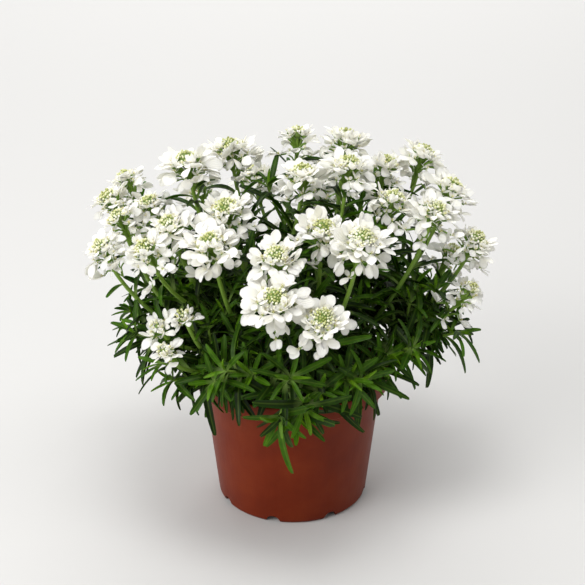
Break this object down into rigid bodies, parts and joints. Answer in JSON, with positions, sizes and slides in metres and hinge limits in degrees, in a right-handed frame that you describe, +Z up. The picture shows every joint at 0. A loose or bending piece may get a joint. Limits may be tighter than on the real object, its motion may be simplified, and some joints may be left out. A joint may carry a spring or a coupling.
{
  "type": "potted evergreen candytuft",
  "caption": "Low evergreen candytuft in full white flower: domed flat-topped flower heads on leafy stems above a round tapered plastic pot filled with soil.",
  "frame": {"origin": "centre of the pot's foot, on the surface that the pot stands on", "axes": "+Z up along the pot's axis, -Y towards the front of the plant as pictured, +X to the right"},
  "size_m": [0.2453, 0.2312, 0.2216],
  "materials": {
    "pot_plastic": "smooth terracotta-brown injection-moulded plastic with a soft sheen",
    "potting_soil": "dark crumbly peat, fully matte",
    "foliage": "smooth leathery evergreen leaves, green stems and buds, slightly glossy",
    "petals": "thin white petals, soft and matte"
  },
  "bodies": {
    "root": {"pot": "pot_plastic", "soil": "potting_soil", "leafy_branch_01": "foliage", "leafy_branch_02": "foliage", "leafy_branch_03": "foliage", "leafy_branch_04": "foliage", "leafy_branch_05": "foliage", "leafy_branch_06": "foliage", "leafy_branch_07": "foliage", "leafy_branch_08": "foliage", "leafy_branch_09": "foliage", "leafy_branch_10": "foliage", "leafy_branch_11": "foliage", "leafy_branch_12": "foliage", "leafy_branch_13": "foliage", "leafy_branch_14": "foliage", "leafy_branch_15": "foliage", "leafy_branch_16": "foliage", "leafy_branch_17": "foliage", "leafy_branch_18": "foliage", "flower_head_01": "petals", "flower_head_02": "petals", "flower_head_03": "petals", "flower_head_04": "petals", "flower_head_05": "petals", "flower_head_06": "petals", "flower_head_07": "petals", "flower_head_08": "petals", "flower_head_09": "petals", "flower_head_10": "petals", "flower_head_11": "petals", "flower_head_12": "petals", "flower_head_13": "petals", "flower_head_14": "petals", "flower_head_15": "petals", "flower_head_16": "petals", "flower_head_17": "petals", "flower_head_18": "petals", "flower_head_19": "petals", "flower_head_20": "petals", "flower_head_21": "petals", "flower_head_22": "petals", "flower_head_23": "petals", "flower_head_24": "petals", "flower_head_25": "petals", "flower_head_26": "petals", "flower_head_27": "petals", "flower_head_28": "petals", "flower_head_29": "petals", "flower_head_30": "petals", "flower_head_31": "petals", "flower_head_32": "petals", "flower_head_33": "petals", "flower_head_34": "petals", "flower_head_35": "petals", "flower_head_36": "petals", "flower_head_37": "petals", "flower_head_38": "petals", "flower_head_39": "petals", "flower_head_40": "petals"}
  },
  "joints": []
}
